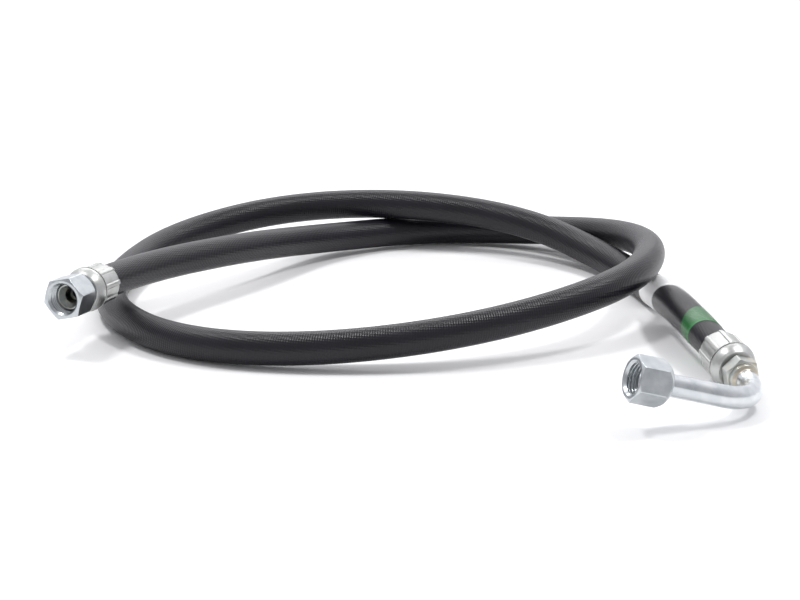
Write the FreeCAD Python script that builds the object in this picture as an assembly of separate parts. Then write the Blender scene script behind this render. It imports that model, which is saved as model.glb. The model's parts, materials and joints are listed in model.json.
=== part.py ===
"""Hydraulic hose assembly: a two-wire 6 mm bore hose lying in a loose loop and a half, with a straight
37-degree swivel on one end and a 90-degree swept-elbow swivel on the other.

Frame: millimetres, +Z up. Z = 0 is the surface that the assembly lies on, and X = Y = 0 is midway
between its two end fittings. Every fitting is drawn on its own axis, from the rim of its ferrule
(where the hose comes out, local z = 0) outwards along local +Z, and is then carried onto the hose end."""
import FreeCAD, Part
import math
import os
from FreeCAD import Vector

os.makedirs("parts", exist_ok=True)

# ---- hose: five bonded layers around a 6.4 mm bore, 15 mm across outside ----
HOSE_BORE_R = 3.2
INNER_TUBE_WALL = 1.25
BRAID_WALL = 0.55
SEPARATOR_WALL = 0.2
COVER_WALL = 1.75
INNER_TUBE_R = HOSE_BORE_R + INNER_TUBE_WALL
INNER_BRAID_R = INNER_TUBE_R + BRAID_WALL
SEPARATOR_R = INNER_BRAID_R + SEPARATOR_WALL
OUTER_BRAID_R = SEPARATOR_R + BRAID_WALL
HOSE_R = OUTER_BRAID_R + COVER_WALL

# Route of the hose's centreline, from the rim of the straight fitting's ferrule to the rim of the
# elbow fitting's. Each point is a corner of straight runs, and the corners are rounded by arcs.
ROUTE = [
    (-133.1, 62.7, 25.8),   # rim of the straight fitting's ferrule, resting on the left bend
    (-123.4, 88.9, 24.2),
    (-77, 144, 20.5),       # down and back
    (-39, 202, 10),
    (16, 232, 7.5),         # back run, on the surface, under the second turn
    (75, 225.5, 8.5),
    (117, 184, 17.5),       # right-hand bend, climbing
    (126, 121, 25),         # over the elbow end's run
    (104, 58, 26),
    (40, 21, 16.5),
    (-35, 12, 9),           # front run, back on the surface
    (-98, 28, 7.5),
    (-135, 81, 7.5),        # left-hand bend, under the straight fitting
    (-137, 143, 7.5),
    (-115, 202, 11.5),
    (-63, 232, 19),         # climbing over the back run
    (2, 221, 25),
    (66, 208, 19),
    (109, 168, 7.5),        # down again
    (126, 107, 7.5),        # under the right-hand bend
    (129, 41, 18.5),
    (138.7, 3.3, 13),       # rim of the elbow fitting's ferrule
]
CENTRING = (1.1, 4.6, 0)    # brings the middle of the end fittings over the origin
BEND_SHARE = 0.45           # share of the shorter run that a corner's arc takes up

# ---- crimped ferrule, the same piece on both ends ----
FERRULE_LENGTH = 21.0
CRIMP_DIES = 8
RIB_WIDTH = 1.8
LAND_R = HOSE_R + 1.5       # pressed lands
RIB_R = HOSE_R + 2.1        # ribs left between the crimping dies
RIM_BREAK = 0.4             # bevel round the rim
RIM_TAPER = 2.5             # length over which the rim is pressed in by RIM_BREAK
COLLAR_R = HOSE_R + 2.6     # uncrimped front of the ferrule
NOSE_R = HOSE_R + 0.7
RAMP_LENGTH = 1.5           # from the crimp up to the collar
COLLAR_LENGTH = 2.5
NOSE_LENGTH = 3.5
NOSE_BULGE = 1.2            # the nose's curve passes this far in front of the collar's edge
CRIMP_LENGTH = FERRULE_LENGTH - NOSE_LENGTH - COLLAR_LENGTH - RAMP_LENGTH
LIP_LENGTH = 2.0            # inward lip of the ferrule, pressed into the nipple's groove
LIP_FROM_NOSE = 1.5
LIP_START = FERRULE_LENGTH - LIP_FROM_NOSE - LIP_LENGTH
HOSE_IN_FERRULE = LIP_START - 2.5
OVERSHOOT = 1.0             # how far a cutting shape stands out of what it cuts

# ---- swivel nuts, 9/16-18 thread and 11/16 inch hexagon on both ends, for a 9.5 mm flared tube ----
TUBE_R = 4.75
TUBE_WALL = 1.5
TUBE_BORE_R = TUBE_R - TUBE_WALL
FLARE_R = TUBE_R + 1.35
NUT_THREAD_R = FLARE_R + 0.35       # wall at the thread crests
NUT_RELIEF_R = NUT_THREAD_R + 0.17  # relieved wall behind the free thread
NUT_FLATS = 2 * (NUT_THREAD_R + 2.28)
NUT_LENGTH = 15.5
NUT_MOUTH_CHAMFER = 0.8
SEAT_RECESS = 5.3           # mating face, inside the nut's mouth
NUT_CAVITY_DEPTH = 10.5     # straight fitting's nut; the elbow's is bored down to its sleeve
NUT_FACE_INSET = 0.35       # turned face at each end, in from the flats
NUT_CHAMFER = math.radians(30)
NUT_REAR_ROUND = 3.2        # length of the rounded rear
RUN_CLEARANCE = 0.08        # radial: nut on neck, nut on sleeve, sleeve on tube
NUT_GAP = 0.8               # between the straight fitting's nut and its ferrule
WIRE_R = 0.6                # thrust wire that holds the straight fitting's nut
WIRE_PLAY = 0.02            # wire in the nipple's groove
WIRE_FROM_REAR = 3.0
LEFT_NUT_TURN = -16.0       # degrees, where each hexagon happens to stand
RIGHT_NUT_TURN = -8.0

# ---- nipples ----
TAIL_BORE_R = HOSE_BORE_R - 0.9
TAIL_TIP = 1.5              # end of the tail, just inside the rim
TAIL_TIP_INSET = 0.5        # the tip is this much narrower than the hose's bore
PLAIN_TAIL = 2.0            # without barbs, before the collar
BARBS = 4
BARB_DEPTH = 0.35
NIPPLE_COLLAR_R = HOSE_R - 1.3
LOCK_GROOVE_R = NIPPLE_COLLAR_R - 0.8
NIPPLE_NECK_R = NUT_THREAD_R - 0.65
SEAT_MOUTH_R = NIPPLE_NECK_R - 0.7
SEAT_THROAT_R = 3.0
THROAT_END = 2.0            # where the wide throat ends, from the rear of the nut
EDGE_BREAK = 0.4            # bevel at the ends of the neck and the boss
CONE_HALF_ANGLE = math.radians(37)

# ---- elbow ----
BOSS_R = TUBE_R + 1.45
HEX_FLATS = 2 * (BOSS_R + 0.8)
HEX_GAP = 0.5
HEX_LENGTH = 6.0
HEX_BEVEL_REAR, HEX_BEVEL_FRONT = 0.7, 0.9
HEX_FACE_INSET = 0.3
BOSS_LENGTH = 2.2
BRAZE_R = BOSS_R - 0.3
BRAZE_HEIGHT = 1.3
BRAZE_TO_BEND = 0.5         # straight tube between the brazing and the bend
SOCKET_DEPTH = 7.0
BEND_R = 22.5
LEG_LENGTH = 40.6           # from the end of the bend to the mouth of the nut
ELBOW_RISE = 16.4           # degrees that the elbow's far leg climbs from the level
SLEEVE_HEAD_R = FLARE_R + 0.2
SLEEVE_HEAD_LENGTH = 3.5
SLEEVE_SHANK_R = TUBE_R + 0.65
SEAT_PLAY = 0.15            # sleeve's cone to the back of the flare, and nut's web to the sleeve's shoulder

# ---- markings near the elbow end, by distance back from the ferrule's rim ----
LABEL_FROM, LABEL_TO = 108.0, 77.0
WRAP_FROM, WRAP_TO = 76.5, 15.7
BAND_FROM, BAND_TO = 31.0, 15.7
FILM = 0.15                 # label and band
WRAP = 0.35                 # clear sleeve over the band


# ---- shapes on a fitting's own axis ----
def turned(outline):
    """Solid of revolution about Z. The outline is (r, z) corners, and a pair of them is an arc through
    the first that ends on the second."""
    def corner(rz):
        return Vector(rz[0], 0, rz[1])

    last = corner(outline[0])
    edges = []
    for step in outline[1:] + [outline[0]]:
        if isinstance(step[0], tuple):
            end = corner(step[1])
            edges.append(Part.Arc(last, corner(step[0]), end).toShape())
        else:
            end = corner(step)
            if end.isEqual(last, 1e-6):
                continue
            edges.append(Part.LineSegment(last, end).toShape())
        last = end
    return Part.Face(Part.Wire(edges)).revolve(Vector(0, 0, 0), Vector(0, 0, 1), 360)


def hexagon(flats, start, end):
    corner_r = flats / math.sqrt(3)
    angles = [math.radians(60 * k) for k in range(7)]
    ring = [Vector(corner_r * math.cos(a), corner_r * math.sin(a), start) for a in angles]
    return Part.Face(Part.makePolygon(ring)).extrude(Vector(0, 0, end - start))


def ring_of_wire(at, radius, wire_r):
    return Part.makeTorus(radius, wire_r, Vector(0, 0, at))


def make_ferrule():
    shoulder = CRIMP_LENGTH + RAMP_LENGTH
    collar_end = shoulder + COLLAR_LENGTH
    body = turned([
        (HOSE_R, 0), (RIB_R - RIM_BREAK, 0), (RIB_R, RIM_TAPER), (RIB_R, CRIMP_LENGTH),
        (COLLAR_R, shoulder), (COLLAR_R, collar_end - 1),
        ((COLLAR_R - 0.35, collar_end + NOSE_BULGE), (NOSE_R + RIM_BREAK, FERRULE_LENGTH - RIM_BREAK)),
        (NOSE_R, FERRULE_LENGTH), (NIPPLE_COLLAR_R, FERRULE_LENGTH),
        (NIPPLE_COLLAR_R, LIP_START + LIP_LENGTH), (LOCK_GROOVE_R, LIP_START + LIP_LENGTH),
        (LOCK_GROOVE_R, LIP_START), (NIPPLE_COLLAR_R, LIP_START),
        (NIPPLE_COLLAR_R, HOSE_IN_FERRULE), (HOSE_R, HOSE_IN_FERRULE),
    ])
    # the dies press the lands down and leave the ribs, with a ramp up to the collar
    pressed = turned([
        (LAND_R - RIM_BREAK, -OVERSHOOT), (LAND_R - RIM_BREAK, 0), (LAND_R, RIM_TAPER),
        (LAND_R, CRIMP_LENGTH - RAMP_LENGTH), (COLLAR_R, CRIMP_LENGTH),
        (COLLAR_R + OVERSHOOT, CRIMP_LENGTH), (COLLAR_R + OVERSHOOT, -OVERSHOOT),
    ])
    lands = pressed
    reach = COLLAR_R + 2 * OVERSHOOT
    rib_from = Vector(0, -RIB_WIDTH / 2, -OVERSHOOT)
    for k in range(CRIMP_DIES):
        rib = Part.makeBox(reach, RIB_WIDTH, CRIMP_LENGTH + 2 * OVERSHOOT, rib_from)
        rib.rotate(Vector(0, 0, 0), Vector(0, 0, 1), 360 / CRIMP_DIES * k)
        lands = lands.cut(rib)
    return body.cut(lands)


def nipple_tail():
    """Outline of the barbed tail and the locking collar, from the tip to the ferrule's nose."""
    outline = [(TAIL_BORE_R, TAIL_TIP), (HOSE_BORE_R - TAIL_TIP_INSET, TAIL_TIP)]
    pitch = (HOSE_IN_FERRULE - TAIL_TIP - 2 * PLAIN_TAIL) / BARBS
    for k in range(BARBS):
        foot = TAIL_TIP + PLAIN_TAIL / 2 + pitch * k
        outline += [(HOSE_BORE_R, foot + pitch * 0.5), (HOSE_BORE_R, foot + pitch * 0.7)]
        outline += [(HOSE_BORE_R - BARB_DEPTH, foot + pitch * 0.75), (HOSE_BORE_R - BARB_DEPTH, foot + pitch)]
    outline += [
        (HOSE_BORE_R, HOSE_IN_FERRULE - PLAIN_TAIL), (HOSE_BORE_R, HOSE_IN_FERRULE),
        (NIPPLE_COLLAR_R, HOSE_IN_FERRULE), (NIPPLE_COLLAR_R, LIP_START), (LOCK_GROOVE_R, LIP_START),
        (LOCK_GROOVE_R, LIP_START + LIP_LENGTH), (NIPPLE_COLLAR_R, LIP_START + LIP_LENGTH),
        (NIPPLE_COLLAR_R, FERRULE_LENGTH),
    ]
    return outline


LEFT_NUT_REAR = FERRULE_LENGTH + NUT_GAP
LEFT_NUT_MOUTH = LEFT_NUT_REAR + NUT_LENGTH
LEFT_WIRE_AT = LEFT_NUT_REAR + WIRE_FROM_REAR


def make_left_nipple():
    face = LEFT_NUT_MOUTH - SEAT_RECESS
    cone_depth = (SEAT_MOUTH_R - SEAT_THROAT_R) / math.tan(CONE_HALF_ANGLE)
    narrowing = LEFT_NUT_REAR + THROAT_END
    body = turned(nipple_tail() + [
        (NIPPLE_NECK_R, FERRULE_LENGTH),
        (NIPPLE_NECK_R, face - EDGE_BREAK), (NIPPLE_NECK_R - EDGE_BREAK, face),
        (SEAT_MOUTH_R, face), (SEAT_THROAT_R, face - cone_depth), (SEAT_THROAT_R, narrowing + 1),
        (TAIL_BORE_R, narrowing),
    ])
    neck_middle = NIPPLE_NECK_R + RUN_CLEARANCE / 2
    return body.cut(ring_of_wire(LEFT_WIRE_AT, neck_middle, WIRE_R + WIRE_PLAY))


def nut_blank(rear, mouth):
    """Hexagon with a turned chamfer at its mouth and a rounded rear, before it is bored."""
    corner_r = NUT_FLATS / math.sqrt(3)
    reach = corner_r + NUT_FACE_INSET
    face_r = NUT_FLATS / 2 - NUT_FACE_INSET
    chamfer = (reach - face_r) * math.tan(NUT_CHAMFER)
    rear_face_r = corner_r - NUT_REAR_ROUND
    at_45 = NUT_REAR_ROUND * (1 - math.cos(math.pi / 4))
    envelope = turned([
        (0, rear), (rear_face_r, rear), ((corner_r - at_45, rear + at_45), (corner_r, rear + NUT_REAR_ROUND)),
        (reach, rear + NUT_REAR_ROUND), (reach, mouth - chamfer), (face_r, mouth), (0, mouth),
    ])
    return hexagon(NUT_FLATS, rear, mouth).common(envelope)


def bored_nut(rear, mouth, rear_bore_r, cavity_floor):
    nut = nut_blank(rear, mouth)
    bore = turned([
        (0, rear - OVERSHOOT), (rear_bore_r, rear - OVERSHOOT), (rear_bore_r, cavity_floor),
        (NUT_RELIEF_R, cavity_floor), (NUT_RELIEF_R, mouth - SEAT_RECESS),
        (NUT_THREAD_R, mouth - SEAT_RECESS), (NUT_THREAD_R, mouth - NUT_MOUTH_CHAMFER),
        (NUT_THREAD_R + NUT_MOUTH_CHAMFER + OVERSHOOT, mouth + OVERSHOOT), (0, mouth + OVERSHOOT),
    ])
    return nut.cut(bore)


def make_left_nut():
    cavity_floor = LEFT_NUT_MOUTH - NUT_CAVITY_DEPTH
    nut = bored_nut(LEFT_NUT_REAR, LEFT_NUT_MOUTH, NIPPLE_NECK_R + RUN_CLEARANCE, cavity_floor)
    groove = ring_of_wire(LEFT_WIRE_AT, NIPPLE_NECK_R + RUN_CLEARANCE / 2, WIRE_R + RUN_CLEARANCE)
    nut = nut.cut(groove)
    nut.rotate(Vector(0, 0, 0), Vector(0, 0, 1), LEFT_NUT_TURN)
    return nut


def make_left_wire():
    return ring_of_wire(LEFT_WIRE_AT, NIPPLE_NECK_R + RUN_CLEARANCE / 2, WIRE_R)


HEX_START = FERRULE_LENGTH + HEX_GAP
BOSS_START = HEX_START + HEX_LENGTH
BOSS_END = BOSS_START + BOSS_LENGTH
SOCKET_FLOOR = BOSS_END - SOCKET_DEPTH
BEND_START = BOSS_END + BRAZE_HEIGHT + BRAZE_TO_BEND


def make_right_nipple():
    corner_r = HEX_FLATS / math.sqrt(3)
    face_r = HEX_FLATS / 2 - HEX_FACE_INSET
    within = BOSS_R - EDGE_BREAK
    core = turned(nipple_tail() + [
        (BOSS_R, FERRULE_LENGTH), (BOSS_R, BOSS_END - EDGE_BREAK), (within, BOSS_END),
        (TUBE_R, BOSS_END), (TUBE_R, SOCKET_FLOOR), (TAIL_BORE_R, SOCKET_FLOOR),
    ])
    flange = hexagon(HEX_FLATS, HEX_START, BOSS_START).common(turned([
        (within, HEX_START), (face_r, HEX_START), (corner_r, HEX_START + HEX_BEVEL_REAR),
        (corner_r, BOSS_START - HEX_BEVEL_FRONT), (face_r, BOSS_START), (within, BOSS_START),
    ]))
    return core.fuse(flange).removeSplitter()


def make_braze_ring():
    return turned([
        (TUBE_R, BOSS_END), (BRAZE_R, BOSS_END),
        ((TUBE_R + 0.35, BOSS_END + 0.4), (TUBE_R + 0.05, BOSS_END + BRAZE_HEIGHT)),
        (TUBE_R, BOSS_END + BRAZE_HEIGHT),
    ])


# The elbow's far leg: local axes with +Z out of the nut's mouth, and z = 0 at the end of the bend.
def flare_rise():
    return (FLARE_R - TUBE_R) / math.tan(CONE_HALF_ANGLE)


TUBE_END = LEG_LENGTH - SEAT_RECESS
RIGHT_NUT_REAR = LEG_LENGTH - NUT_LENGTH


def swept_ring(path, outer_r, inner_r):
    """Tube of a ring section along a path of lines and tangent arcs."""
    start = path.Edges[0]
    at = start.valueAt(start.FirstParameter)
    along = start.tangentAt(start.FirstParameter)
    circles = [Part.Wire(Part.Circle(at, along, r).toShape()) for r in (outer_r, inner_r)]
    solid = path.makePipe(Part.Face(circles, "Part::FaceMakerBullseye"))
    return solid.Solids[0] if solid.Solids else Part.Solid(solid)


def make_elbow_tube():
    """Drawn in the ferrule's axes, with the far leg along local +X after the bend."""
    bend_top = Vector(BEND_R * (1 - math.cos(math.pi / 4)), 0, BEND_START + BEND_R * math.sin(math.pi / 4))
    bend_end = Vector(BEND_R, 0, BEND_START + BEND_R)
    flare_start = TUBE_END - flare_rise()
    leg_end = bend_end + Vector(flare_start, 0, 0)
    path = Part.Wire([
        Part.LineSegment(Vector(0, 0, SOCKET_FLOOR), Vector(0, 0, BEND_START)).toShape(),
        Part.Arc(Vector(0, 0, BEND_START), bend_top, bend_end).toShape(),
        Part.LineSegment(bend_end, leg_end).toShape(),
    ])
    tube = swept_ring(path, TUBE_R, TUBE_BORE_R)
    wall = TUBE_R - TUBE_BORE_R
    flare = turned([
        (TUBE_BORE_R, flare_start), (TUBE_R, flare_start), (FLARE_R, TUBE_END),
        (FLARE_R - wall, TUBE_END),
    ])
    flare.Placement = on_far_leg()
    return tube.fuse(flare).removeSplitter()


def on_far_leg():
    """Carries the far leg's own axes onto the end of the bend."""
    turn = FreeCAD.Rotation(Vector(0, 1, 0), 90)
    return FreeCAD.Placement(Vector(BEND_R, 0, BEND_START + BEND_R), turn)


SLEEVE_BORE_R = TUBE_R + RUN_CLEARANCE
SLEEVE_CONE_START = TUBE_END - flare_rise() - SEAT_PLAY
SLEEVE_LIP = SLEEVE_CONE_START + (SLEEVE_HEAD_R - SLEEVE_BORE_R) / math.tan(CONE_HALF_ANGLE)
SLEEVE_SHOULDER = SLEEVE_LIP - SLEEVE_HEAD_LENGTH


def make_flare_sleeve():
    return turned([
        (SLEEVE_BORE_R, RIGHT_NUT_REAR), (SLEEVE_SHANK_R, RIGHT_NUT_REAR),
        (SLEEVE_SHANK_R, SLEEVE_SHOULDER), (SLEEVE_HEAD_R, SLEEVE_SHOULDER),
        (SLEEVE_HEAD_R, SLEEVE_LIP), (SLEEVE_BORE_R, SLEEVE_CONE_START),
    ])


def make_right_nut():
    cavity_floor = SLEEVE_SHOULDER - SEAT_PLAY
    nut = bored_nut(RIGHT_NUT_REAR, LEG_LENGTH, SLEEVE_SHANK_R + RUN_CLEARANCE, cavity_floor)
    nut.rotate(Vector(0, 0, 0), Vector(0, 0, 1), RIGHT_NUT_TURN)
    return nut


# ---- the hose's path ----
def corner_arc(before, corner, after):
    """Arc that rounds a corner of the route: its two ends, its middle and its radius."""
    arriving = corner - before
    leaving = after - corner
    trim = BEND_SHARE * min(arriving.Length, leaving.Length)
    turn = arriving.getAngle(leaving)
    radius = trim / math.tan(turn / 2)
    u, v = arriving.normalize(), leaving.normalize()
    inward = (v - u).normalize()
    middle = corner + inward * (radius / math.cos(turn / 2) - radius)
    return corner - u * trim, middle, corner + v * trim, radius


def hose_path(points):
    """Straight runs joined by tangent arcs, as a list of edges. Prints the arcs' radii."""
    edges = []
    radii = []
    start = points[0]
    for before, corner, after in zip(points, points[1:], points[2:]):
        arc_start, middle, arc_end, radius = corner_arc(before, corner, after)
        edges.append(Part.LineSegment(start, arc_start).toShape())
        edges.append(Part.Arc(arc_start, middle, arc_end).toShape())
        radii.append(round(radius))
        start = arc_end
    edges.append(Part.LineSegment(start, points[-1]).toShape())
    print("hose arc radii, mm:", radii)
    return edges


def stretch(edges, first, last):
    """Wire along part of the path, between two distances from its start."""
    taken = []
    passed = 0.0
    for edge in edges:
        low, high = max(first - passed, 0), min(last - passed, edge.Length)
        if high - low > 1e-6:
            ends = [edge.getParameterByLength(d) for d in (low, high)]
            taken.append(edge.Curve.toShape(*ends))
        passed += edge.Length
    return Part.Wire(taken)


def outward(rim, next_point):
    return (rim - next_point).normalize()


def on_hose_end(rim, axis, towards):
    """Placement of a fitting: local +Z along axis, local +X as near as can be to a direction."""
    across = (towards - axis * towards.dot(axis)).normalize()
    return FreeCAD.Placement(rim, FreeCAD.Rotation(across, axis.cross(across), axis, "ZXY"))


def place(shape, *placements):
    moved = shape.copy()
    for placement in placements:
        moved.Placement = placement.multiply(moved.Placement)
    return moved


route = [Vector(*point) + Vector(*CENTRING) for point in ROUTE]
left_axis = outward(route[0], route[1])
right_axis = outward(route[-1], route[-2])
left_end = route[0] + left_axis * HOSE_IN_FERRULE
right_end = route[-1] + right_axis * HOSE_IN_FERRULE
path_edges = hose_path([left_end] + route[1:-1] + [right_end])
path = Part.Wire(path_edges)
hose_length = path.Length
rim_at = hose_length - HOSE_IN_FERRULE      # distance along the hose of the elbow fitting's rim

# the elbow leg points left (-X) and climbs by ELBOW_RISE from the level
rise = math.radians(ELBOW_RISE)
level = Vector(0, 0, 1).cross(right_axis).normalize() * -1
climb = level.cross(right_axis).normalize()
climb = climb if climb.z > 0 else climb * -1
leg_towards = level * math.cos(rise) + climb * math.sin(rise)
left_place = on_hose_end(route[0], left_axis, Vector(0, 0, 1))
right_place = on_hose_end(route[-1], right_axis, leg_towards)
leg_place = right_place.multiply(on_far_leg())

layers = [
    ("inner_tube", INNER_TUBE_R, HOSE_BORE_R),
    ("inner_wire_braid", INNER_BRAID_R, INNER_TUBE_R),
    ("separator_layer", SEPARATOR_R, INNER_BRAID_R),
    ("outer_wire_braid", OUTER_BRAID_R, SEPARATOR_R),
    ("outer_cover", HOSE_R, OUTER_BRAID_R),
]
parts = {name: swept_ring(path, outer, inner) for name, outer, inner in layers}
for name, outer, inner in layers:
    expected = math.pi * (outer**2 - inner**2) * hose_length
    print(name, "volume over section x length:", round(parts[name].Volume / expected, 4))


def wrapped(first, last, outer_r, inner_r):
    return swept_ring(stretch(path_edges, rim_at - first, rim_at - last), outer_r, inner_r)


ferrule = make_ferrule()
parts["identity_label"] = wrapped(LABEL_FROM, LABEL_TO, HOSE_R + FILM, HOSE_R)
parts["green_marker_band"] = wrapped(BAND_FROM, BAND_TO, HOSE_R + FILM, HOSE_R)
parts["clear_sleeve"] = wrapped(WRAP_FROM, WRAP_TO, HOSE_R + FILM + WRAP, HOSE_R + FILM)
parts["left_ferrule"] = place(ferrule, left_place)
parts["left_nipple"] = place(make_left_nipple(), left_place)
parts["left_swivel_nut"] = place(make_left_nut(), left_place)
parts["left_thrust_wire"] = place(make_left_wire(), left_place)
parts["right_ferrule"] = place(ferrule, right_place)
parts["right_nipple"] = place(make_right_nipple(), right_place)
parts["braze_ring"] = place(make_braze_ring(), right_place)
parts["elbow_tube"] = place(make_elbow_tube(), right_place)
parts["flare_sleeve"] = place(make_flare_sleeve(), leg_place)
parts["right_swivel_nut"] = place(make_right_nut(), leg_place)


def rounded(vector, digits=3):
    return [round(c, digits) for c in vector]


print("hose length, mm:", round(hose_length, 1))
print("left mouth", rounded(left_place.multVec(Vector(0, 0, LEFT_NUT_MOUTH))), "axis", rounded(left_axis, 5))
print("left nut middle", rounded(left_place.multVec(Vector(0, 0, LEFT_NUT_MOUTH - SEAT_RECESS / 2))))
leg_axis = leg_place.Rotation.multVec(Vector(0, 0, 1))
print("right mouth", rounded(leg_place.multVec(Vector(0, 0, LEG_LENGTH))), "axis", rounded(leg_axis, 5))
for name, shape in parts.items():
    box = shape.BoundBox
    print(f"{name}: valid {shape.isValid()} solids {len(shape.Solids)} volume {shape.Volume:.1f}",
          f"x {box.XMin:.1f}..{box.XMax:.1f} y {box.YMin:.1f}..{box.YMax:.1f}",
          f"z {box.ZMin:.1f}..{box.ZMax:.1f}")
    shape.exportStep("parts/" + name + ".step")
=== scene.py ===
# %% [markdown]
# # A hydraulic hose assembly, dressed for the camera
# The part is a hose as thick as a thumb, about 1.3 m long, lying in a loose loop and a half. One end has
# a straight swivel nut, the other a bent steel tube with a swivel nut, and each is held on the
# hose by a crimped ferrule. The CAD model gives every place and size. This lesson rebuilds what the eye
# meets, the hose's curve, the crimps, the threads and the surfaces, around that fixed frame.

# %% Load the fixed frame
import json
import math

import bpy
import numpy as np
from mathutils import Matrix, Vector


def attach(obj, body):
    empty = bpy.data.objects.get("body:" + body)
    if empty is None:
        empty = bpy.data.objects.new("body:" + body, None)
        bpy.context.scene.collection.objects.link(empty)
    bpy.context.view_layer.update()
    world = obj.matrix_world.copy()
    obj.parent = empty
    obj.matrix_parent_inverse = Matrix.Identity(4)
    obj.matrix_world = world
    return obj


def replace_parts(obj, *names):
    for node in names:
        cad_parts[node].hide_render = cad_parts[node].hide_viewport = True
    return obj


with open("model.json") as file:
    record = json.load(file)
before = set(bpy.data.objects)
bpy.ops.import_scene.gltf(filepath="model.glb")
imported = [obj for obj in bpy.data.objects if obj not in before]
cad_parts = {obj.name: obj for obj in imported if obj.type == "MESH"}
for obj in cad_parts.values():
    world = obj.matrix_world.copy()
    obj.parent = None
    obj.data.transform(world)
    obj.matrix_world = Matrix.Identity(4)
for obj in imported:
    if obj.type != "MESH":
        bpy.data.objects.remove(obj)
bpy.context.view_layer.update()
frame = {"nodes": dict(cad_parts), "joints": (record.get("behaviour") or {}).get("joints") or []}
scene = bpy.context.scene
MM = 0.001

# %% [markdown]
# ## The camera
# The assembly is seen from the front and a little above, through a long lens, so that the far side of
# the loop is hardly smaller than the near one. A long lens from about a metre away does that. A wide
# lens close up would swell the fittings at the front.

# %% Camera
SENSOR_WIDTH = 36.0
FOCAL_LENGTH = 94.5
CAMERA_AT = Vector((0.0031, -0.8514, 0.2875))
LOOK_AT = Vector((0.0031, 0.1266, 0.0))

camera_data = bpy.data.cameras.new("camera")
camera_data.sensor_width = SENSOR_WIDTH
camera_data.lens = FOCAL_LENGTH
camera = bpy.data.objects.new("camera", camera_data)
camera.location = CAMERA_AT
camera.rotation_euler = (LOOK_AT - CAMERA_AT).to_track_quat("-Z", "Y").to_euler()
scene.collection.objects.link(camera)
scene.camera = camera

# %% [markdown]
# ## The hose's line
# A wire-braided hose is stiff. It leaves each ferrule straight, and everywhere else it bends as gently
# as it can. A polyline would show its corners and a Bezier needs a pair of handles at each point, so the
# line is a quadratic NURBS spline, which is smooth and stays inside its control points. Those are the
# corners of the CAD tube's own route. The first and the last lie inside the ferrules, where the
# cut ends of the hose are.

# %% Route of the hose
HOSE_R = 7.5
HOSE_IN_FERRULE = 15.0
RIM_TO_RIM = [
    (-133.1, 62.7, 25.8), (-123.4, 88.9, 24.2), (-77, 144, 20.5), (-39, 202, 10), (16, 232, 7.5),
    (75, 225.5, 8.5), (117, 184, 17.5), (126, 121, 25), (104, 58, 26), (40, 21, 16.5),
    (-35, 12, 9), (-98, 28, 7.5), (-135, 81, 7.5), (-137, 143, 7.5), (-115, 202, 11.5),
    (-63, 232, 19), (2, 221, 25), (66, 208, 19), (109, 168, 7.5), (126, 107, 7.5),
    (129, 41, 18.5), (138.7, 3.3, 13),
]
CENTRING = (1.1, 4.6, 0)        # brings the middle of the end fittings over the origin


def unit(vectors):
    """Each vector divided by its length."""
    vectors = np.asarray(vectors, float)
    return vectors / np.linalg.norm(vectors, axis=-1, keepdims=True)


corners = np.array(RIM_TO_RIM) + CENTRING
rims = corners[[0, -1]]
outwards = unit(rims - corners[[1, -2]])
hose_ends = rims + HOSE_IN_FERRULE * outwards
control_points = np.vstack([hose_ends[:1], corners[1:-1], hose_ends[1:]])

STEPS_PER_SPAN = 30
line_data = bpy.data.curves.new("hose_line", "CURVE")
line_data.dimensions = "3D"
line_data.resolution_u = STEPS_PER_SPAN
spline = line_data.splines.new("NURBS")
spline.points.add(len(control_points) - 1)
weighted = np.column_stack([control_points * MM, np.ones(len(control_points))])
spline.points.foreach_set("co", weighted.ravel())
spline.order_u = 3
spline.use_endpoint_u = True
line_object = bpy.data.objects.new("hose_line", line_data)

sampled = bpy.data.meshes.new_from_object(line_object)
line = np.zeros(len(sampled.vertices) * 3)
sampled.vertices.foreach_get("co", line)
line = line.reshape(-1, 3) / MM
bpy.data.meshes.remove(sampled)
bpy.data.objects.remove(line_object)
along = np.r_[0, np.cumsum(np.linalg.norm(np.diff(line, axis=0), axis=1))]
print("hose line:", len(line), "points,", round(along[-1]), "mm")

# %% [markdown]
# ## A mesh from a grid of points
# Everything turned, swept or wound on this assembly is a grid: one direction runs along a profile or a
# path, the other runs round the axis. Blender's own Spin and Screw would do as well, but a grid worked
# out with numpy can change its radius with the angle, and that is what a hexagon, a crimp and
# a thread need. The function below makes the faces, works out which way they point from the volume that
# they enclose, and turns them over if they point in.

# %% Grid to mesh
SHARP_ANGLE = math.radians(32)


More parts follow.
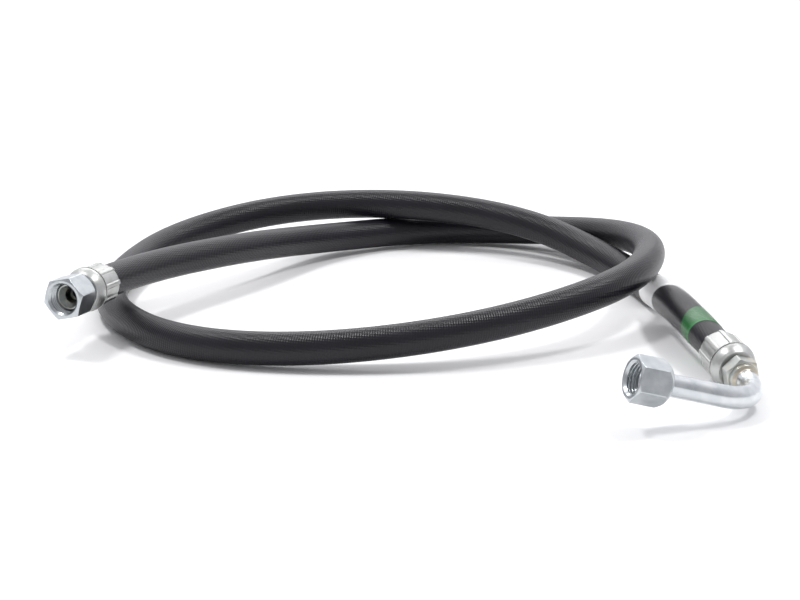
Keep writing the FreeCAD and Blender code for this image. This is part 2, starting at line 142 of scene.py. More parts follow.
def grid_mesh(name, points, close_profile=True, uv=None):
    """Mesh object from points, an array (along, around, 3) in millimetres. It always closes around, and
    along as well if close_profile is set. uv is an array (along + 1, around + 1, 2) of map coordinates."""
    rows, columns = points.shape[:2]
    i, j = np.meshgrid(np.arange(rows if close_profile else rows - 1), np.arange(columns), indexing="ij")
    i, j = i.ravel(), j.ravel()
    next_i, next_j = (i + 1) % rows, (j + 1) % columns
    quads = np.column_stack([i * columns + j, next_i * columns + j,
                             next_i * columns + next_j, i * columns + next_j])
    a, b, c, d = (points.reshape(-1, 3)[quads[:, k]] for k in range(4))
    volume = (np.einsum("ij,ij->i", a, np.cross(b, c)) + np.einsum("ij,ij->i", a, np.cross(c, d))).sum() / 6
    corners = np.column_stack([i, j, i + 1, j, i + 1, j + 1, i, j + 1]).reshape(-1, 4, 2)
    if volume < 0:
        quads, corners = quads[:, ::-1], corners[:, ::-1]
    mesh = bpy.data.meshes.new(name)
    mesh.from_pydata(points.reshape(-1, 3) * MM, [], quads.tolist())
    if uv is not None:
        layer = mesh.uv_layers.new(name="surface_mm")
        layer.uv.foreach_set("vector", uv[corners[..., 0], corners[..., 1]].astype(np.float32).ravel())
    mesh.shade_smooth()
    mesh.set_sharp_from_angle(angle=SHARP_ANGLE)
    piece = bpy.data.objects.new(name, mesh)
    scene.collection.objects.link(piece)
    print(f"{name}: {len(quads)} quads, {abs(volume) / 1000:.2f} cm3")
    return piece


# %% [markdown]
# ## The hose
# The hose is a pipe of five bonded layers, of which only the cover shows. Each layer is a ring section
# carried along the line. A frame that is level across the hose, made from the line's direction and the
# vertical, never twists here, because no stretch of the hose stands upright. The map on the surface is in
# real millimetres, along and around, so that the cloth pattern on the rubber has its true pitch.

# %% Rings along the hose
AROUND_HOSE = 48
EDGE_SHARE = 0.3        # where a broken edge has its middle point, as a share of its width


def direction_at(distance):
    """Unit direction of the hose's line at distances along it."""
    slopes = np.gradient(line, along, axis=0)
    return unit(np.column_stack([np.interp(distance, along, slopes[:, k]) for k in range(3)]))


def point_at(distance):
    """Points of the hose's line at distances along it."""
    return np.column_stack([np.interp(distance, along, line[:, k]) for k in range(3)])


def hose_surface(distance, turn, radius):
    """Points at radius from the line: line(distance) + radius (cos(turn) across + sin(turn) upwards).
    distance, turn and radius are numbers or arrays that fit one another."""
    distance, turn, radius = np.broadcast_arrays(distance, turn, radius)
    centre = point_at(distance.ravel())
    forward = direction_at(distance.ravel())
    across = unit(np.cross(forward, (0, 0, 1)))
    upwards = np.cross(across, forward)
    t, r = turn.reshape(-1, 1), radius.reshape(-1, 1)
    return (centre + r * (np.cos(t) * across + np.sin(t) * upwards)).reshape(*distance.shape, 3)


def pipe(name, start, end, outer_r, inner_r, around=AROUND_HOSE, rounding=0.0, spacing=2.7):
    """Ring section from start to end along the hose. start and end are distances, or functions of the
    turn where a cut is slanted, and rounding breaks the outer edges."""
    turn = np.linspace(0, 2 * np.pi, around, endpoint=False)[None, :]
    first = start(turn) if callable(start) else np.full_like(turn, start)
    last = end(turn) if callable(end) else np.full_like(turn, end)
    rows = max(2, int(np.ceil((last - first).max() / spacing)) + 1)
    share = np.linspace(0, 1, rows)[:, None]
    inset = rounding * np.array([[1.0], [EDGE_SHARE]])
    between = (first + rounding) * (1 - share) + (last - rounding) * share
    outer_at = np.vstack([first, first + rounding * EDGE_SHARE, between, last - rounding * EDGE_SHARE, last])
    outer = np.concatenate([outer_r - inset, np.full((rows, 1), outer_r), outer_r - inset[::-1]])
    inner_at = last * (1 - share) + first * share
    distance = np.vstack([outer_at, inner_at])
    radius = np.vstack([outer, np.full((rows, 1), inner_r)]) + np.zeros_like(turn)
    points = hose_surface(distance, turn + np.zeros_like(distance), radius)
    uv = np.stack(np.broadcast_arrays(distance, turn * outer_r), -1)
    uv = np.concatenate([uv, uv[:1]], 0)
    uv = np.concatenate([uv, uv[:, :1] + (0, 2 * np.pi * outer_r)], 1)
    return grid_mesh(name, points, uv=uv)


# Each layer's name, outer radius and inner radius.
LAYERS = {
    "inner_tube": ("bore_tube", 4.45, 3.2),
    "inner_wire_braid": ("first_braid", 5.0, 4.45),
    "separator_layer": ("rubber_between_braids", 5.2, 5.0),
    "outer_wire_braid": ("second_braid", 5.75, 5.2),
    "outer_cover": ("rubber_cover", HOSE_R, 5.75),
}
AROUND_HIDDEN_LAYER = 24
layers = {}
for node, (name, outer_r, inner_r) in LAYERS.items():
    around = AROUND_HOSE if node == "outer_cover" else AROUND_HIDDEN_LAYER
    layers[node] = pipe(name, 0, along[-1], outer_r, inner_r, around=around)
    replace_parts(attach(layers[node], "hose"), node)

# %% [markdown]
# ## The wrappings near the elbow
# A white label, a stretch of clear shrink film and a green ring sit on the hose near the elbow. They are
# thin pipes on the same line. Someone put them on by hand, so their ends aren't square: each cut is a
# distance that swings as a cosine of the angle round the hose.

# %% Label, band and clear film
FILM = 0.15
SHRINK_WALL = 0.35
LOOSE = 0.04        # air under the clear film
SLANT = math.radians(165)
# Each wrapping's two ends, measured back from the elbow's ferrule, and how far each cut swings.
LABEL_CUTS = ((108, 0), (77, 4.5))
BAND_CUTS = ((30.5, -4), (15.0, 2.2))
FILM_CUTS = ((76.5, 4.5), (15.8, 2.2))
TAPE_EDGE, FILM_EDGE = 0.05, 0.15
WRAP_SPACING = 1.0
elbow_rim_at = along[-1] - HOSE_IN_FERRULE


def slanted_cut(before_rim, swing):
    """A cut before_rim millimetres back from the elbow's ferrule, reaching swing further towards SLANT."""
    def distance(turn):
        return elbow_rim_at - before_rim + swing * np.cos(turn - SLANT)
    return distance


def wrapping(name, cuts, outer_r, inner_r, edge):
    first, last = (slanted_cut(*cut) for cut in cuts)
    return pipe(name, first, last, outer_r, inner_r, rounding=edge, spacing=WRAP_SPACING)


wrappings = {
    "identity_label": wrapping("white_label", LABEL_CUTS, HOSE_R + FILM, HOSE_R, TAPE_EDGE),
    "green_marker_band": wrapping("green_ring", BAND_CUTS, HOSE_R + FILM, HOSE_R, TAPE_EDGE),
    "clear_sleeve": wrapping("clear_shrink_film", FILM_CUTS, HOSE_R + FILM + SHRINK_WALL,
                             HOSE_R + FILM + LOOSE, FILM_EDGE),
}
for node, piece in wrappings.items():
    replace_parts(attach(piece, "hose"), node)

# %% [markdown]
# ## Axes of the two fittings
# Each fitting is drawn on its own axis, with z = 0 at the rim that the hose comes out of and z growing
# away from the hose. The hose's line gives the place and direction of both axes, the nut's joint gives the
# direction of the elbow's far leg, and the lengths are read off the CAD nodes along those axes.

# %% Fitting axes, and sizes read from the frame
def axes(origin, outward, towards):
    """Origin and the rows x, y, z of a fitting's own axes, with x as near to towards as can be."""
    across = unit(towards - outward * (towards @ outward))
    return origin, np.array([across, np.cross(outward, across), outward])


def placed(points, fitting):
    """Points in a fitting's own axes, carried into the frame."""
    origin, rows = fitting
    return origin + points @ rows


def cylindrical(node, fitting):
    """Radius, angle and height of a CAD node's vertices in a fitting's own axes."""
    mesh = frame["nodes"][node].data
    points = np.zeros(len(mesh.vertices) * 3)
    mesh.vertices.foreach_get("co", points)
    x, y, z = ((points.reshape(-1, 3) / MM - fitting[0]) @ fitting[1].T).T
    return np.hypot(x, y), np.arctan2(y, x), z


leg_direction = next(np.array(j["axis"], float) for j in frame["joints"] if j["name"] == "right_nut_spin")
left = axes(rims[0], outwards[0], np.array([0, 0, 1.0]))
right = axes(rims[1], outwards[1], leg_direction)

BEND_R = 22.5
tube_radius, tube_angle, tube_height = cylindrical("elbow_tube", right)
tube_reach = tube_radius * np.cos(tube_angle)
mouth_height = tube_height[tube_reach > tube_reach.max() - 0.1]
LEG_HEIGHT = (mouth_height.max() + mouth_height.min()) / 2
BEND_START = LEG_HEIGHT - BEND_R
leg = axes(placed(np.array([BEND_R, 0, LEG_HEIGHT]), right), leg_direction, -outwards[1])
print("bend starts", round(BEND_START, 2), "mm from the rim")

# %% [markdown]
# ## Profiles with softened corners
# A turned part is a profile of radius and height swung round the axis. On real metal no corner is a
# mathematical line: a broken edge a tenth of a millimetre wide is what catches the light. So each
# corner of a profile is replaced by a short curve, with one more point held on each side of it, which
# keeps the smooth shading off the flat faces beside it. The corners may differ from angle to angle, as they
# do on a hexagon.

# %% Softened profiles
CORNER_STEPS = 3
HOLD = 1.7


def softened(corners, breaks):
    """Chain of (radius, height) corners, an array (corners, angles, 2), with each corner cut back by its
    break and rounded by the quadratic Bezier (1-t)^2 A + 2t(1-t) B + t^2 C."""
    rows = [corners[:1]]
    t = np.linspace(0, 1, CORNER_STEPS + 1)[:, None, None]
    for k in range(1, len(corners) - 1):
        before, corner, after = corners[k - 1], corners[k], corners[k + 1]
        back, on = before - corner, after - corner
        back_length = np.linalg.norm(back, axis=-1, keepdims=True)
        on_length = np.linalg.norm(on, axis=-1, keepdims=True)
        cut = np.minimum(breaks[k], 0.27 * np.minimum(back_length, on_length))
        a, c = corner + back / back_length * cut, corner + on / on_length * cut
        hold_a, hold_c = corner + back / back_length * cut * HOLD, corner + on / on_length * cut * HOLD
        rows += [hold_a[None], (1 - t) ** 2 * a + 2 * t * (1 - t) * corner + t**2 * c, hold_c[None]]
    rows.append(corners[-1:])
    return np.concatenate(rows)


def swung(name, profile, turn, fitting):
    """Turned piece: profile (rows, angles, 2) of radius and height at each turn, closed both ways."""
    radius, height = profile[..., 0], profile[..., 1]
    points = np.stack([radius * np.cos(turn), radius * np.sin(turn), height], -1)
    steps = np.linalg.norm(np.diff(np.concatenate([profile, profile[:1]]), axis=0), axis=-1).mean(1)
    down = np.r_[0, np.cumsum(steps)]
    round_r = radius.max()
    u, v = np.meshgrid(down, np.r_[turn, turn[0] + 2 * np.pi] * round_r, indexing="ij")
    return grid_mesh(name, placed(points, fitting), uv=np.stack([u, v], -1))


def same_all_round(corners, turn):
    """Corners (k, 2) repeated at each turn, where a corner may hold an array of one value a turn."""
    return np.stack([np.stack(np.broadcast_arrays(r, z, turn)[:2], -1) for r, z in corners])


# %% [markdown]
# ## Hexagons
# Both swivel nuts and the elbow's nipple are cut from hexagon bar. The distance from the axis to a flat
# side is half the width across the flats over the cosine of the angle from the middle of that flat. The
# angles are chosen so that the six edges fall on columns of the grid, with a narrow band at each for the
# bar's slightly rounded edge.

# %% Hexagon radius
EDGE_BAND = 29.0
FLAT_ANGLES = np.r_[-EDGE_BAND, -28.0, np.linspace(-24, 24, 13), 28.0, EDGE_BAND, 30.0]


def hexagon_turns(first_corner):
    """Turns round the axis for a hexagon with a corner at first_corner."""
    middles = np.radians(60 * np.arange(6) + 30)
    return first_corner + np.add.outer(middles, np.radians(FLAT_ANGLES)).ravel()


def hexagon_radius(turn, first_corner, across_flats):
    """Radius to a flat, across_flats / 2 / cos(angle from its middle), less the broken edge."""
    from_middle = (turn - first_corner) % math.radians(60) - math.radians(30)
    flat = across_flats / 2 / np.cos(from_middle)
    return np.minimum(flat, across_flats / 2 / math.cos(math.radians(EDGE_BAND)))


def first_corner_of(radius, angle):
    """Angle of a hexagon's corner, from the CAD vertices that are furthest from its axis."""
    return angle[radius.argmax()] % math.radians(60)


# %% [markdown]
# ## Crimped ferrules
# A ferrule starts as a plain turned sleeve. Eight dies close on it and press the hose onto the nipple's
# barbs, and metal that escapes between the dies stands up as eight ribs. The dies stop short of the front
# collar, where each land ends in a small ramp. The outer radius is therefore a function of height and
# angle: the turned profile, less the depth of the lands, which fades out across a rib's flank and up the
# ramp.
# A boolean cut would give the same ribs with knife edges, and metal never flows like that.

# %% Ferrules
DIES = 8
RIB_DEPTH = 0.6
RIB_WIDTH = 1.5
RIB_FLANK = 0.6
CRIMP_END = 13.0
RAMP = 1.8
RIM_BREAK = 0.4
RIM_TAPER = 2.5
AROUND_FERRULE = 192
CRIMP_ROWS = 46
NOSE_CURVE = ((0.02, 5.2), (0.12, 4), (0.45, 2.8), (1.0, 1.5), (1.8, 0.1))  # radius lost, from the front
CORNER_BREAK = 0.2


def smooth_step(x):
    """3x^2 - 2x^3 of x held between 0 and 1."""
    x = np.clip(x, 0, 1)
    return x * x * (3 - 2 * x)


def crimped_ferrule(name, node, fitting, first_rib):
    """The outline swung round the axis. Up to the end of the ramp its outer radius is then
    rib radius - depth * land(angle), and the ramp carries that up to the collar."""
    radius, _, height = cylindrical(node, fitting)
    length, collar_r = height.max(), radius.max()
    rib_r = radius[height < length / 2].max()
    turn = np.linspace(0, 2 * np.pi, AROUND_FERRULE, endpoint=False)
    outline = [(HOSE_R, 0.4), (HOSE_R + 0.3, 0), (rib_r - 0.3, 0), (rib_r, 0.4)]
    outline += [(rib_r, h) for h in np.linspace(0.8, CRIMP_END + RAMP, CRIMP_ROWS)]
    outline += [(collar_r - lost, length - back) for lost, back in NOSE_CURVE]
    inner_r = radius[height > length - 0.1].min()
    outline += [(inner_r + 0.3, length), (inner_r, length - 0.3), (inner_r, length - 4), (HOSE_R, length - 5)]
    profile = softened(same_all_round(outline, turn), np.full(len(outline), CORNER_BREAK))
    r, z = profile[..., 0], profile[..., 1]
    crimped = (r > HOSE_R + 1.2) & (r < rib_r + 0.1) & (z < CRIMP_END + RAMP + 0.1)
    from_rib = (turn - first_rib + np.pi / DIES) % (2 * np.pi / DIES) - np.pi / DIES
    land = smooth_step((np.abs(from_rib) * rib_r - RIB_WIDTH / 2) / RIB_FLANK)
    climb = smooth_step((z - CRIMP_END) / RAMP)
    pressed_r = r - RIB_DEPTH * land - RIM_BREAK * (1 - smooth_step(z / RIM_TAPER))
    profile[..., 0] = np.where(crimped, pressed_r + (collar_r - pressed_r) * climb, r)
    piece = swung(name, profile, turn, fitting)
    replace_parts(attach(piece, "hose"), node)
    return piece


left_ferrule = crimped_ferrule("crimped_ferrule_straight_end", "left_ferrule", left, math.radians(8))
right_ferrule = crimped_ferrule("crimped_ferrule_elbow_end", "right_ferrule", right, math.radians(17))

# %% [markdown]
# ## Swivel nuts
# Each nut is hexagon bar, bored, threaded and chamfered on a lathe. Turning takes the corners off at both
# ends, so where the cone of the chamfer meets a flat it leaves a curved edge, higher in the middle of
# each flat. The thread is a real helix: the wall's radius is a triangle wave of the height less one pitch
# for each turn, cut off flat at the crests and roots. A normal map could suggest it, but the mouth is seen
# from close by, and the dark grooves need true depth.

# %% Nuts
THREAD_R = 6.45
RELIEF_R = 6.62
LEFT_CAVITY_DEPTH, LEFT_REAR_BORE_R, LEFT_THREAD_DEPTH = 10.5, 5.88, 9.0
SLEEVE_IN_NUT, RIGHT_REAR_BORE_R, RIGHT_THREAD_DEPTH = 3.65, 5.48, 7.4
THREAD_PITCH = 25.4 / 18
THREAD_DEPTH = 0.69
THREAD_CREST_SHARE = 0.25
THREAD_ROOT_SHARE = 0.125
MOUTH_CHAMFER = 0.9
ROWS_PER_PITCH = 14
TOP_CHAMFER = math.radians(28)
FACE_INSET = 0.3
REAR_FACE_INSET = 2.2
REAR_SLOPE = 4.3
REAR_CURVE = 1.6


def thread_wave(phase):
    """0 on the crest of an internal thread and 1 at its root: a triangle wave of phase, one period a
    pitch, stretched and clipped so that crest and root have their flats."""
    triangle = 1 - np.abs(2 * (phase % 1) - 1)
    return np.clip((triangle - THREAD_CREST_SHARE) / (1 - THREAD_CREST_SHARE - THREAD_ROOT_SHARE), 0, 1)


def swivel_nut(name, node, body, fitting, cavity_floor, neck_r, thread_depth):
    """Hexagon nut with a domed rear, a cavity down to cavity_floor and a thread of thread_depth."""
    radius, angle, height = cylindrical(node, fitting)
    rear, mouth, corner_r = height.min(), height.max(), radius.max()
    flats = corner_r * math.sqrt(3)
    first_corner = first_corner_of(radius, angle)
    turn = hexagon_turns(first_corner)
    hexagon = hexagon_radius(turn, first_corner, flats)
    face_r, rear_r = flats / 2 - FACE_INSET, flats / 2 - REAR_FACE_INSET
    share = np.linspace(0, 1, 7)[1:, None]
    dome_r = rear_r + (hexagon - rear_r) * share
    dome_reach = (dome_r - rear_r) / (corner_r + 0.3 - rear_r)
    dome_z = rear + REAR_SLOPE * dome_reach**REAR_CURVE
    outside = [(hexagon, mouth - (hexagon - face_r) * math.tan(TOP_CHAMFER)), (face_r, mouth),
               (THREAD_R + MOUTH_CHAMFER, mouth), (THREAD_R + 0.1, mouth - MOUTH_CHAMFER)]
    inside = [(RELIEF_R, cavity_floor + 1.0), (RELIEF_R, cavity_floor), (neck_r, cavity_floor),
              (neck_r, rear + 0.4), (neck_r + 0.4, rear), (rear_r, rear)]
    dome = [(dome_r[k], dome_z[k]) for k in range(len(share))]
    thread_top, thread_end = mouth - MOUTH_CHAMFER - 0.15, mouth - thread_depth
    rows = int((thread_top - thread_end) / THREAD_PITCH * ROWS_PER_PITCH)
    z = np.linspace(thread_top, thread_end, rows)[:, None]
    fade = smooth_step((thread_top - z) / 0.5) * smooth_step((z - thread_end) / 0.6)
    wave = thread_wave((z / THREAD_PITCH) - turn / (2 * np.pi))
    thread = np.stack(np.broadcast_arrays(THREAD_R + THREAD_DEPTH * wave * fade, z), -1)
    outer = softened(same_all_round(dome[-1:] + outside, turn), [0, 0.16, 0.14, 0.12, 0.1])
    inner = softened(same_all_round(inside + dome[:-1], turn), [0.2] * 5 + [0.25] + [0.0001] * 5)
    piece = swung(name, np.concatenate([outer[:-1], thread, inner]), turn, fitting)
    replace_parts(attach(piece, body), node)
    return piece


left_mouth = cylindrical("left_swivel_nut", left)[2].max()
sleeve_end = cylindrical("flare_sleeve", leg)[2].max()
left_nut = swivel_nut("straight_swivel_nut", "left_swivel_nut", "left_nut", left,
                      left_mouth - LEFT_CAVITY_DEPTH, LEFT_REAR_BORE_R, LEFT_THREAD_DEPTH)
right_nut = swivel_nut("elbow_swivel_nut", "right_swivel_nut", "right_nut", leg,
                       sleeve_end - SLEEVE_IN_NUT, RIGHT_REAR_BORE_R, RIGHT_THREAD_DEPTH)

# %% [markdown]
# ## Nipples
# A nipple is turned from one bar: a barbed tail inside the hose, a collar that the ferrule's lip locks
# into, and what it offers to the next piece. On the straight end that is a neck for the nut, with
# a cone of 37 degrees cut into its face as the seat. On the elbow end it is a small hexagon and a boss,
# bored as a socket for the tube. Both use the profile function, and only the hexagon's rows change with
# the angle.

# %% Nipples
BORE_R = 3.2
TAIL_BORE_R = 2.3
BARBS = 4
PLAIN_TAIL = 2
SEAT_ANGLE = math.radians(37)
BARB_DEPTH = 0.35
TAIL_TIP = 1.5
COLLAR_R = 6.2
GROOVE_R = 5.4
LIP = (17.5, 19.5)
SEAT_THROAT_R = 3.0
AROUND_TURNED = 96


def tail_outline():
    """Outside of the nipple inside the hose: tip, barbs with a slow rise and a steep back, collar, groove."""
    pitch = (HOSE_IN_FERRULE - TAIL_TIP - 2 * PLAIN_TAIL) / BARBS
    outline = [(TAIL_BORE_R, TAIL_TIP), (BORE_R - 0.5, TAIL_TIP)]
    for foot in TAIL_TIP + PLAIN_TAIL / 2 + pitch * np.arange(BARBS):
        outline += [(BORE_R - 0.01, foot + 0.5 * pitch), (BORE_R - 0.01, foot + 0.7 * pitch),
                    (BORE_R - BARB_DEPTH, foot + 0.75 * pitch), (BORE_R - BARB_DEPTH, foot + pitch)]
    outline += [(BORE_R, HOSE_IN_FERRULE - PLAIN_TAIL), (BORE_R, HOSE_IN_FERRULE),
                (COLLAR_R, HOSE_IN_FERRULE)]
    for edge, (outer_r, inner_r) in zip(LIP, ((COLLAR_R, GROOVE_R), (GROOVE_R, COLLAR_R))):
        outline += [(outer_r, edge), (inner_r, edge)]
    return outline


def turned_piece(name, node, body, fitting, outline, turn, broken_edge=0.15):
    """A hollow turned piece in place of a CAD node. It starts and ends at the same corner of its bore."""
    breaks = np.full(len(outline), broken_edge)
    piece = swung(name, softened(same_all_round(outline, turn), breaks), turn, fitting)
    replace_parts(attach(piece, body), node)
    return piece


turn = np.linspace(0, 2 * np.pi, AROUND_TURNED, endpoint=False)
neck_r, _, neck_z = cylindrical("left_nipple", left)
neck_r, face = neck_r[neck_z > neck_z.max() - 2].max(), neck_z.max()
ferrule_end = cylindrical("left_ferrule", left)[2].max()
seat_mouth_r = neck_r - 0.75
seat_depth = (seat_mouth_r - SEAT_THROAT_R) / math.tan(SEAT_ANGLE)
left_nipple = turned_piece("straight_nipple", "left_nipple", "hose", left, tail_outline() + [
    (COLLAR_R, ferrule_end), (neck_r, ferrule_end + 0.05), (neck_r, face), (seat_mouth_r, face),
    (SEAT_THROAT_R, face - seat_depth), (SEAT_THROAT_R, ferrule_end + 3.8), (TAIL_BORE_R, ferrule_end + 2.8),
    (TAIL_BORE_R, TAIL_TIP + 0.5),
], turn)

boss_r, boss_angle, boss_z = cylindrical("right_nipple", right)
flange_flats = boss_r.max() * math.sqrt(3)
flange_corner = boss_angle[np.argmax(boss_r * (boss_z > ferrule_end + 1))] % math.radians(60)
flange_turn = hexagon_turns(flange_corner)
flange = hexagon_radius(flange_turn, flange_corner, flange_flats)
flange_face_r = flange_flats / 2 - 0.25
flange_slope = (flange - flange_face_r) * math.tan(TOP_CHAMFER)
FLANGE = (ferrule_end + 0.5, ferrule_end + 6.5)
BOSS_R = 6.2
TUBE_R = 4.75
boss_end = boss_z.max()
SOCKET_DEPTH = 7
socket_floor = boss_end - SOCKET_DEPTH
right_nipple = turned_piece("elbow_nipple", "right_nipple", "hose", right, tail_outline() + [
    (COLLAR_R, FLANGE[0]), (flange_face_r - 0.2, FLANGE[0]), (flange, FLANGE[0] + flange_slope + 0.15),
    (flange, FLANGE[1] - flange_slope - 0.25), (flange_face_r, FLANGE[1]), (BOSS_R, FLANGE[1] + 0.02),
    (BOSS_R, FLANGE[1] + 0.9), (BOSS_R - 0.25, FLANGE[1] + 1.05), (BOSS_R - 0.25, FLANGE[1] + 1.25),
    (BOSS_R, FLANGE[1] + 1.4), (BOSS_R - 0.05, boss_end - 0.45), (BOSS_R - 0.5, boss_end), (TUBE_R, boss_end),
    (TUBE_R, socket_floor), (TAIL_BORE_R, socket_floor), (TAIL_BORE_R, TAIL_TIP + 0.5),
], flange_turn, broken_edge=0.12)

# %% [markdown]
# ## The elbow tube and its brazing
# The tube is drawn steel, bent round a former in one go and flared at its free end. It is a circle
# carried along a straight, a quarter turn and a second straight. In the bend, the former flattens it by a
# few hundredths, and the wiper leaves shallow waves on the inside of the bend. Those waves are real geometry
# here, a small sine of the angle of the bend, because the tube is bright and every dent shows in
# its reflections. The brazing is a concave fillet whose edge wanders as molten metal does.

# %% Elbow tube
WALL = 1.5
OVALITY = 0.025
WAVE_HEIGHT = 0.05
WAVES = 7
AROUND_TUBE = 64
BEND_LENGTH = BEND_R * math.pi / 2
tube_r, _, tube_z = cylindrical("elbow_tube", leg)
leg_tube_end = tube_z.max()
flare_r = tube_r[tube_z > leg_tube_end - 0.5].max()
flare_length = (flare_r - TUBE_R) / math.tan(SEAT_ANGLE)


def bend_line(distance, first_straight):
    """Centre, outward side and angle of bend at distances along the tube, in the elbow fitting's axes."""
    angle = np.clip((distance - first_straight) / BEND_R, 0, math.pi / 2)
    before = np.minimum(distance - first_straight, 0)
    after = np.maximum(distance - first_straight - BEND_LENGTH, 0)
    centre = np.stack([BEND_R * (1 - np.cos(angle)) + after, 0 * angle,
                       BEND_START + BEND_R * np.sin(angle) + before], -1)
    inner_side = np.stack([np.cos(angle), 0 * angle, -np.sin(angle)], -1)
    return centre, inner_side, angle


def elbow_tube():
    straight = BEND_START - socket_floor
    total = straight + BEND_LENGTH + leg_tube_end
    flare_from = total - flare_length
    stations = np.r_[0, 0.3, np.linspace(1, straight, 8), straight + np.linspace(0, BEND_LENGTH, 73)[1:-1],
                     np.linspace(straight + BEND_LENGTH, flare_from - 0.3, 14), flare_from,
                     np.linspace(flare_from + 0.3, total - 0.15, 4), total]
    widening = np.maximum(stations - flare_from, 0) * math.tan(SEAT_ANGLE)
    inner = TUBE_R - WALL + widening
    distance = np.r_[stations, stations[::-1]]
    radius = np.r_[TUBE_R + widening, inner[::-1]][:, None]
    around = np.linspace(0, 2 * np.pi, AROUND_TUBE, endpoint=False)
    centre, inner_side, angle = bend_line(distance, straight)
    bent = np.sin(2 * angle)[:, None]
    radius = radius * (1 - OVALITY * bent * np.cos(2 * around))
    wave = np.sin(2 * np.pi * WAVES * angle / (math.pi / 2))[:, None] * bent
    radius = radius + WAVE_HEIGHT * wave * smooth_step(np.cos(around) * 1.4)
    points = (centre[:, None] + radius[..., None] * (np.cos(around)[:, None] * inner_side[:, None]
                                                   + np.sin(around)[:, None] * np.array([0, 1.0, 0])))
    u, v = np.meshgrid(np.r_[distance, distance[0]], np.r_[around, 2 * np.pi] * TUBE_R, indexing="ij")
    piece = grid_mesh("bent_elbow_tube", placed(points, right), uv=np.stack([u, v], -1))
    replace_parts(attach(piece, "hose"), "elbow_tube")
    return piece


tube = elbow_tube()

FILLET_HEIGHT = 1.3
fillet_turn = np.linspace(0, 2 * np.pi, AROUND_TURNED, endpoint=False)
creep = 0.12 * np.sin(3 * fillet_turn + 0.7) + 0.07 * np.sin(7 * fillet_turn)
fillet = [(TUBE_R + 0.02, boss_end - 0.01), (BOSS_R - 0.32 + creep, boss_end - 0.01)]
for share in np.linspace(0.15, 1, 7):
    fillet.append((TUBE_R + 0.04 + (BOSS_R - 0.36 - TUBE_R + creep) * (1 - share) ** 2.2,
                   boss_end + FILLET_HEIGHT * share * (1 + creep)))
fillet.append((TUBE_R + 0.02, boss_end + FILLET_HEIGHT * (1 + creep)))
braze = swung("brazed_fillet", same_all_round(fillet, fillet_turn), fillet_turn, right)
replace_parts(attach(braze, "hose"), "braze_ring")

# %% [markdown]
# ## Flare sleeve and thrust wire
# Behind the flare sits a loose sleeve that the nut pushes on. Behind the straight end's nut runs a round
# wire, fed into a groove shared by nut and nipple, which lets the nut turn but not come off. It is fed in
# through a hole, so the ring has a gap. Little of either shows, but both turn up as soon as
# someone looks into a mouth or takes the assembly apart.

# %% Sleeve and wire
sleeve_r, _, sleeve_z = cylindrical("flare_sleeve", leg)
SLEEVE_BORE_R = TUBE_R + 0.08
sleeve_head = sleeve_z.max()
SLEEVE_HEAD_LENGTH = 3.5
sleeve_slope = (sleeve_r.max() - SLEEVE_BORE_R) / math.tan(SEAT_ANGLE)
SHANK_R = 5.4
sleeve = turned_piece("sleeve_behind_flare", "flare_sleeve", "right_sleeve", leg, [
    (SLEEVE_BORE_R, sleeve_z.min() + 0.3), (SLEEVE_BORE_R + 0.2, sleeve_z.min()), (SHANK_R, sleeve_z.min()),
    (SHANK_R, sleeve_head - SLEEVE_HEAD_LENGTH), (sleeve_r.max(), sleeve_head - SLEEVE_HEAD_LENGTH),
    (sleeve_r.max(), sleeve_head), (SLEEVE_BORE_R + 0.05, sleeve_head - sleeve_slope),
    (SLEEVE_BORE_R, sleeve_head - sleeve_slope - 0.6),
], turn, broken_edge=0.1)

WIRE_GAP = math.radians(14)
ring_r, _, ring_z = cylindrical("left_thrust_wire", left)
wire_r = (ring_z.max() - ring_z.min()) / 2
ring_mid_r, ring_mid_z = (ring_r.max() + ring_r.min()) / 2, (ring_z.max() + ring_z.min()) / 2
wire_turn = np.linspace(WIRE_GAP / 2, 2 * np.pi - WIRE_GAP / 2, 97)
end_share = np.r_[0.02, 0.6, np.ones(95), 0.6, 0.02]
wire_turn = np.r_[wire_turn[0], wire_turn, wire_turn[-1]]
section = np.linspace(0, 2 * np.pi, 16, endpoint=False)
wire_radius = (wire_r * end_share)[:, None]
wire_points = np.stack([(ring_mid_r + wire_radius * np.cos(section)) * np.cos(wire_turn)[:, None],
                        (ring_mid_r + wire_radius * np.cos(section)) * np.sin(wire_turn)[:, None],
                        ring_mid_z + wire_radius * np.sin(section)], -1)
wire = grid_mesh("nut_retaining_wire", placed(wire_points, left), close_profile=False)
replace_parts(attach(wire, "hose"), "left_thrust_wire")

# %% [markdown]
# ## Helpers for the finishes
# Colours are written as the sRGB hex values that a painter would note down, and turned to linear light
# here. One function adds a shader node with its settings and its links. The patterns read the map in
# millimetres that each piece carries, so that a pitch written below is a pitch on the metal or the rubber.

# %% Material helpers
def linear(hex_colour):
    """sRGB hex to linear RGBA: each channel c becomes ((c + 0.055) / 1.055)^2.4, or c / 12.92 near black."""
    channels = np.array([int(hex_colour[k:k + 2], 16) for k in (1, 3, 5)]) / 255
    return (*np.where(channels > 0.04045, ((channels + 0.055) / 1.055) ** 2.4, channels / 12.92), 1.0)


def add(material, kind, inputs=None, **settings):
    """Adds a shader node with its settings. In inputs, a socket is linked and anything else is a value."""
    node = material.node_tree.nodes.new("ShaderNode" + kind)
    for key, value in settings.items():
        setattr(node, key, value)
    for key, value in (inputs or {}).items():
        if isinstance(value, bpy.types.NodeSocket):
            material.node_tree.links.new(value, node.inputs[key])
        else:
            node.inputs[key].default_value = value
    return node


def finish_named(name):
    """A material with nothing in it but its output, and a map reader in millimetres."""
    material = bpy.data.materials.new(name)
    material.use_nodes = True
    material.node_tree.nodes.clear()
    output = add(material, "OutputMaterial")
    surface_mm = add(material, "UVMap", uv_map="surface_mm").outputs["UV"]
    return material, output, surface_mm


